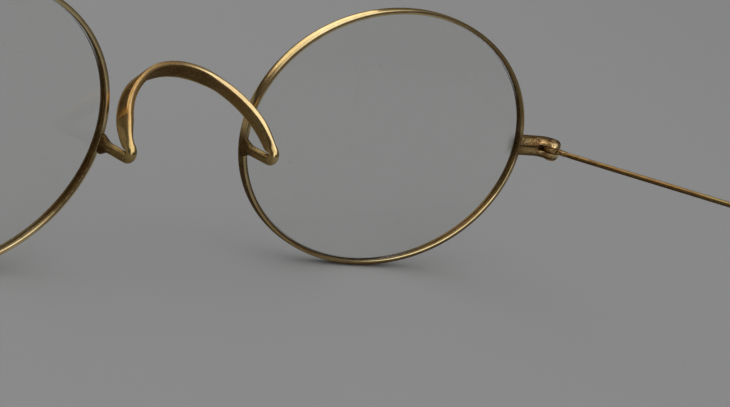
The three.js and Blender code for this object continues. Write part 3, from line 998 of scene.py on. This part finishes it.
def hinge_screw(side):
    """Slotted screw from below, with its head let into the lower lug and its end level with the upper one."""
    seat = LOWER_BOTTOM + SCREW_HEAD_TALL - SCREW_PLAY
    bottom = seat - SCREW_HEAD_TALL
    edge_in, edge_up = SCREW_EDGE
    profile = [
        (SCREW_CENTRE, bottom),
        (SCREW_HEAD_RADIUS - edge_in, bottom),
        (SCREW_HEAD_RADIUS, bottom + edge_up),
        (SCREW_HEAD_RADIUS, seat),
        (SCREW_RADIUS, seat),
        (SCREW_RADIUS, UPPER_TOP - edge_up),
        (SCREW_RADIUS - edge_in, UPPER_TOP),
        (SCREW_CENTRE, UPPER_TOP),
    ]
    blank = turned(profile, Vector((HINGE.x, HINGE.y, 0)))
    reach = Vector((2 * SCREW_HEAD_RADIUS, SCREW_SLOT_WIDE / 2, SCREW_SLOT_DEEP))
    slot_middle = Vector((HINGE.x, HINGE.y, bottom))
    mesh = cut(blank, [box(slot_middle - reach, slot_middle + reach)])
    mark_solid(mesh, screw_dirt)
    front_piece(side, "hinge_screw", mesh, SCREW_BRASS)


# Temples, in a temple's frame

def temple_direction(along, above):
    return Matrix.Rotation(TEMPLE_RISE, 4, "X") @ Vector((0, along, above))


def temple_point(along, above):
    """A place so far along the straight shank and so far above its middle line."""
    return temple_direction(along, above) + Vector((0, NECK_LENGTH + SHANK_SEAM, 0))


def temple_knuckle(side):
    """Flat eye that turns on the screw, with a neck that goes over into the shank."""
    half = NECK_WIDE / 2
    end = SHANK_WIRE / 2
    neck_angle = math.acos(half / BARREL_RADIUS)
    points = [Vector((end, NECK_LENGTH)), Vector((-end, NECK_LENGTH))]
    for step in range(TURN_STEPS + 1):
        angle = lerp(math.pi - neck_angle, 2 * math.pi + neck_angle, step / TURN_STEPS)
        points.append(Vector((math.cos(angle), math.sin(angle))) * BARREL_RADIUS)
    blank = slab(points, -KNUCKLE_TALL / 2, KNUCKLE_TALL / 2, KNUCKLE_ROUND, KNUCKLE_ROUND)
    bore = SCREW_RADIUS + SCREW_PLAY
    mesh = cut(blank, [turned([(bore, -CUT_OVER), (bore, CUT_OVER)], Vector())])
    mark_solid(mesh, lambda point: 0.68)
    temple_piece(side, "temple_knuckle", mesh, GOLD_LUG)


def wire_station(along, above, up, radius):
    return Station(temple_point(along, above), Vector((1, 0, 0)), -up, radius, radius, ROUND)


def shank_dirt_and_shade(point, along, place):
    """Dirt all round, and painted shade that darkens it underneath."""
    # Painted shade: darker underneath
    below = smoothstep(math.sin(2 * math.pi * place / WIRE_SIDES), -0.5, 0.6)
    return lerp(0.56, 0.9, below)


def temple_shank(side):
    """Straight round wire, flatter where it goes into the neck of the knuckle."""
    radius = SHANK_WIRE / 2
    up = temple_direction(0, 1)
    near_neck = [SHANK_IN_NECK * share for share in (-1, -0.5, 0, 0.5, 1, 2)]
    rings = []
    for along in [*near_neck, *range(SHANK_STEP, SHANK_LENGTH + 1, SHANK_STEP)]:
        flat = lerp(SHANK_IN_NECK_FLAT, 1, smoothstep(along, -SHANK_IN_NECK, SHANK_IN_NECK))
        rings.append(station_ring(wire_station(along, 0, up, radius)._replace(wide=radius * flat)))
    mesh = skin(rings)
    mark_sweep(mesh, rings, shank_dirt_and_shade)
    temple_piece(side, "temple_shank", mesh, GOLD_WIRE)


def hook_sleeve(side):
    """Short tube over the meeting ends of shank and hook, with its ends pressed round."""
    bore = SHANK_WIRE / 2
    radius = bore / math.cos(math.pi / CAD_WIRE_SIDES) + SLEEVE_PLAY + SLEEVE_WALL
    half = SLEEVE_LENGTH / 2
    round_in, round_along = SLEEVE_LIP_ROUND
    profile = [
        (bore, -half),
        (radius - SLEEVE_LIP, -half),
        (radius - round_in, -half + round_along),
        (radius, -half + SLEEVE_LIP),
    ]
    profile += [(r, -h) for r, h in reversed(profile)]
    mesh = turned(profile, temple_point(SHANK_LENGTH + SHANK_SEAM / 2, 0), temple_direction(1, 0))
    mark_solid(mesh, lambda point: 0.35, lambda point: 0.9)
    temple_piece(side, "hook_sleeve", mesh, GOLD_LUG)


def hook_station(length):
    """The hook's section at a length along it: straight in the sleeve, then on a circle."""
    bend = max(0, length - HOOK_STRAIGHT) / HOOK_RADIUS
    straight = min(length, HOOK_STRAIGHT)
    along = SHANK_LENGTH + SHANK_SEAM + straight + HOOK_RADIUS * math.sin(bend)
    up = temple_direction(math.sin(bend), math.cos(bend))
    return wire_station(along, HOOK_RADIUS * (math.cos(bend) - 1), up, SHANK_WIRE / 2)


def ear_hook(side):
    rings = []
    for step in range(HOOK_STEPS + 1):
        rings.append(station_ring(hook_station(HOOK_LENGTH * step / HOOK_STEPS)))
    mesh = skin(rings)
    mark_sweep(mesh, rings, lambda point, along, place: 0)
    temple_piece(side, "ear_hook", mesh, GOLD_WIRE)


def hook_ball(side):
    """Bead that blunts the end of the hook."""
    forwards = temple_direction(math.cos(HOOK_SWEEP), -math.sin(HOOK_SWEEP))
    centre = hook_station(HOOK_LENGTH).point + forwards * (BALL_RADIUS + SHANK_SEAM)
    profile = []
    for step in range(1, TURN_STEPS // 2):
        angle = 2 * math.pi * step / TURN_STEPS
        profile.append((BALL_RADIUS * math.sin(angle), -BALL_RADIUS * math.cos(angle)))
    mesh = turned(profile, centre, forwards)
    mark_solid(mesh, lambda point: 0)
    temple_piece(side, "hook_ball", mesh, GOLD_WIRE)


def eyeglasses():
    bridge()
    for side in SIDES:
        for make in (eyewire, lens, upper_lug, lower_lug, hinge_screw):
            make(side)
        for make in (temple_knuckle, temple_shank, hook_sleeve, ear_hook, hook_ball):
            make(side)


# Floor, light and camera, in metres

def floor():
    half = FLOOR_HALF
    corners = [(-half, -half, 0), (half, -half, 0), (half, half, 0), (-half, half, 0)]
    mesh = bpy.data.meshes.new("floor")
    mesh.from_pydata(corners, [], [(0, 1, 2, 3)])
    mesh.materials.append(floor_grey())
    ground = bpy.data.objects.new("floor", mesh)
    bpy.context.scene.collection.objects.link(ground)


def soft_light(name, place, turn, size, radiance):
    """An oblong soft light of even brightness, which shines down unless it is turned up about X."""
    lamp = bpy.data.lights.new(name, "AREA")
    lamp.shape = "RECTANGLE"
    lamp.size, lamp.size_y = size
    lamp.energy = radiance * math.pi * lamp.size * lamp.size_y
    light = bpy.data.objects.new(name, lamp)
    light.location = place
    light.rotation_euler = (turn, 0, 0)
    light.visible_camera = False
    bpy.context.scene.collection.objects.link(light)


def lights():
    level = math.radians(90)
    soft_light("overhead", place=(0.15, 0.25, 0.6), turn=0, size=(1.2, 1.9), radiance=1.06)
    soft_light("front", place=(-0.1, -1, 0.55), turn=level, size=(1.2, 0.5), radiance=1.3)
    soft_light("back", place=(0.75, 0.95, 0.5), turn=-level, size=(0.9, 0.95), radiance=1.25)


def sky():
    """A dim room that is lighter above than at its walls."""
    world = bpy.data.worlds.new("room")
    world.use_nodes = True
    tree = world.node_tree
    tree.nodes.clear()
    place = tree.nodes.new("ShaderNodeTexCoord")
    height = add(tree, "ShaderNodeSeparateXYZ", Vector=place.outputs["Generated"])
    tone = blended(tree, between(tree, height.outputs["Z"], 0, 0.9), ROOM_WALL, ROOM_ABOVE)
    background = add(tree, "ShaderNodeBackground", Color=tone, Strength=1)
    add(tree, "ShaderNodeOutputWorld", Surface=background.outputs[0])
    bpy.context.scene.world = world


def camera():
    data = bpy.data.cameras.new("camera")
    data.sensor_fit = "HORIZONTAL"
    data.sensor_width = SENSOR_WIDTH
    data.lens = CAMERA_FOCUS * SENSOR_WIDTH
    data.clip_start = CLIP_START
    eye = bpy.data.objects.new("camera", data)
    back = (CAMERA_EYE - CAMERA_AIM).normalized()
    turn = back.to_track_quat("Z", "Y").to_matrix().to_4x4() @ Matrix.Rotation(CAMERA_ROLL, 4, "Z")
    lean = FRONT_FRAME.to_3x3().to_4x4()
    eye.matrix_world = Matrix.Translation(FRONT_FRAME @ CAMERA_EYE * MM) @ lean @ turn
    bpy.context.scene.collection.objects.link(eye)
    bpy.context.scene.camera = eye


eyeglasses()
floor()
sky()
lights()
camera()
bpy.context.scene.view_settings.view_transform = "Standard"
